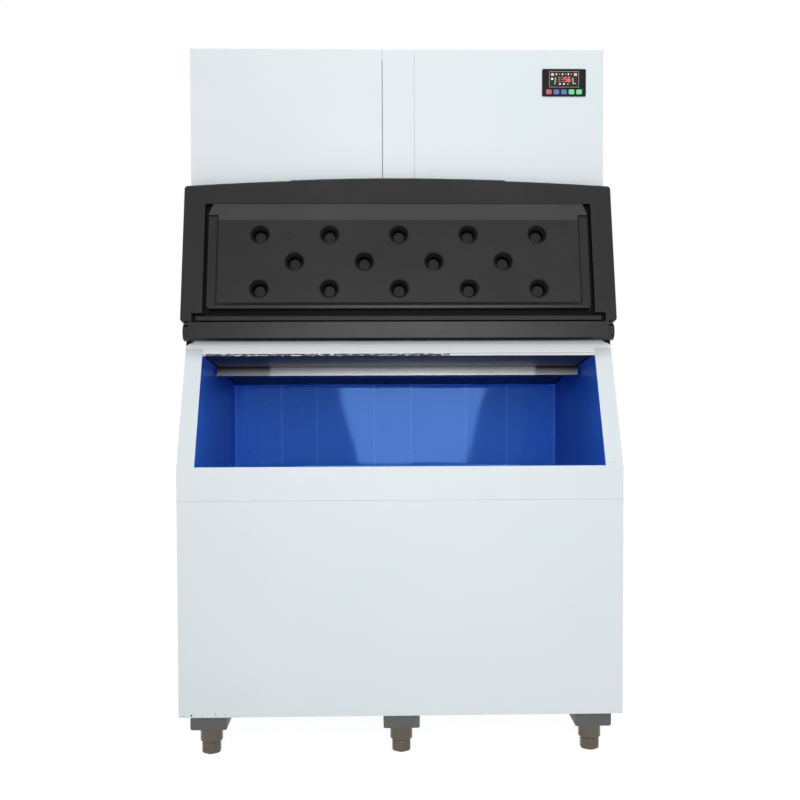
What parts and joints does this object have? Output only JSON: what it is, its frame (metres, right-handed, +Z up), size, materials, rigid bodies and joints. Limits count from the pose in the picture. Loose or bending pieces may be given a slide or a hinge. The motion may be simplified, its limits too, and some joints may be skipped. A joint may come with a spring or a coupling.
{
  "type": "cube ice machine",
  "caption": "Cube ice machine: a tall machine head with a small control panel on an insulated bin with a slanted mouth, a black lift-up lid and screw feet.",
  "frame": {"origin": "bottom centre of the overall box, on the floor", "axes": "+X to the machine's right seen from the front, +Y from the front to the back, +Z up"},
  "size_m": [1.24, 0.852, 2.009],
  "materials": {
    "panel": "satin, bluish white",
    "rear_sheet": "galvanised grey",
    "liner": "satin blue",
    "foam": "foam",
    "grey_plastic": "satin grey",
    "stainless": "brushed",
    "lid_plastic": "satin black",
    "black_plastic": "satin black",
    "screen": "glossy",
    "board": "circuit board green",
    "red_button": "glossy red",
    "blue_button": "glossy blue",
    "green_button": "glossy green",
    "tinned": "bright",
    "copper": "copper",
    "hose": "translucent white"
  },
  "bodies": {
    "cabinet": {"back_panel_screws": "stainless", "bin_back_panel": "rear_sheet", "bin_base_panel": "rear_sheet", "bin_drain_fitting": "grey_plastic", "bin_front_panel": "panel", "bin_front_surround": "panel", "bin_insulation": "foam", "bin_left_side_panel": "panel", "bin_liner": "liner", "bin_lintel": "panel", "bin_right_side_panel": "panel", "bin_top_panel": "panel", "compressor": "black_plastic", "condenser": "tinned", "control_bezel": "black_plastic", "control_board": "board", "display_window": "screen", "electrical_box": "rear_sheet", "evaporator_frame": "stainless", "evaporator_left": "tinned", "evaporator_right": "tinned", "fan_guard": "stainless", "fan_motor": "black_plastic", "fan_shroud": "rear_sheet", "head_back_panel": "rear_sheet", "head_centre_strip": "panel", "head_frame": "rear_sheet", "head_front_left_panel": "panel", "head_front_right_panel": "panel", "head_left_side_panel": "panel", "head_right_side_panel": "panel", "head_top_panel": "panel", "hinge_brackets": "lid_plastic", "ice_chute": "grey_plastic", "ice_deflector": "stainless", "leg_pads": "grey_plastic", "leg_sleeves": "stainless", "partition_wall": "foam", "power_gland": "grey_plastic", "refrigerant_lines": "copper", "water_inlet_valve": "copper", "water_lines": "hose", "water_pump": "grey_plastic", "water_trough": "grey_plastic", "water_tube": "hose"},
    "lid": {"lid": "lid_plastic"},
    "fan": {"fan_blade": "grey_plastic"},
    "left_curtain": {"curtain_left": "grey_plastic"},
    "right_curtain": {"curtain_right": "grey_plastic"},
    "foot_front_left": {"foot_front_left": "stainless"},
    "foot_front_middle": {"foot_front_middle": "stainless"},
    "foot_front_right": {"foot_front_right": "stainless"},
    "foot_rear_left": {"foot_rear_left": "stainless"},
    "foot_rear_middle": {"foot_rear_middle": "stainless"},
    "foot_rear_right": {"foot_rear_right": "stainless"},
    "button_red": {"button_red": "red_button"},
    "button_blue_inner": {"button_blue_inner": "blue_button"},
    "button_blue_outer": {"button_blue_outer": "blue_button"},
    "button_green_inner": {"button_green_inner": "green_button"},
    "button_green_outer": {"button_green_outer": "green_button"}
  },
  "joints": [
    {"name": "lid_hinge", "type": "hinge", "parent": "cabinet", "child": "lid", "pos_m": [0, -0.2865, 1.17187], "axis": [1, 0, 0], "range_deg": [0, 167.7]},
    {"name": "fan_spin", "type": "hinge", "parent": "cabinet", "child": "fan", "pos_m": [0.37, 0.324, 1.717], "axis": [0, 1, 0], "continuous": true},
    {"name": "left_curtain_swing", "type": "hinge", "parent": "cabinet", "child": "left_curtain", "pos_m": [-0.4, 0.13, 1.838], "axis": [-1, 0, 0], "range_deg": [0, 30]},
    {"name": "right_curtain_swing", "type": "hinge", "parent": "cabinet", "child": "right_curtain", "pos_m": [-0.1, 0.13, 1.838], "axis": [-1, 0, 0], "range_deg": [0, 30]},
    {"name": "foot_front_left_screw", "type": "slide", "parent": "cabinet", "child": "foot_front_left", "axis": [0, 0, -1], "range_m": [0, 0.02]},
    {"name": "foot_front_middle_screw", "type": "slide", "parent": "cabinet", "child": "foot_front_middle", "axis": [0, 0, -1], "range_m": [0, 0.02]},
    {"name": "foot_front_right_screw", "type": "slide", "parent": "cabinet", "child": "foot_front_right", "axis": [0, 0, -1], "range_m": [0, 0.02]},
    {"name": "foot_rear_left_screw", "type": "slide", "parent": "cabinet", "child": "foot_rear_left", "axis": [0, 0, -1], "range_m": [0, 0.02]},
    {"name": "foot_rear_middle_screw", "type": "slide", "parent": "cabinet", "child": "foot_rear_middle", "axis": [0, 0, -1], "range_m": [0, 0.02]},
    {"name": "foot_rear_right_screw", "type": "slide", "parent": "cabinet", "child": "foot_rear_right", "axis": [0, 0, -1], "range_m": [0, 0.02]},
    {"name": "button_red_press", "type": "slide", "parent": "cabinet", "child": "button_red", "axis": [0, 1, 0], "range_m": [0, 0.001], "stiffness_N_per_m": 600},
    {"name": "button_blue_inner_press", "type": "slide", "parent": "cabinet", "child": "button_blue_inner", "axis": [0, 1, 0], "range_m": [0, 0.001], "stiffness_N_per_m": 600},
    {"name": "button_blue_outer_press", "type": "slide", "parent": "cabinet", "child": "button_blue_outer", "axis": [0, 1, 0], "range_m": [0, 0.001], "stiffness_N_per_m": 600},
    {"name": "button_green_inner_press", "type": "slide", "parent": "cabinet", "child": "button_green_inner", "axis": [0, 1, 0], "range_m": [0, 0.001], "stiffness_N_per_m": 600},
    {"name": "button_green_outer_press", "type": "slide", "parent": "cabinet", "child": "button_green_outer", "axis": [0, 1, 0], "range_m": [0, 0.001], "stiffness_N_per_m": 600}
  ]
}
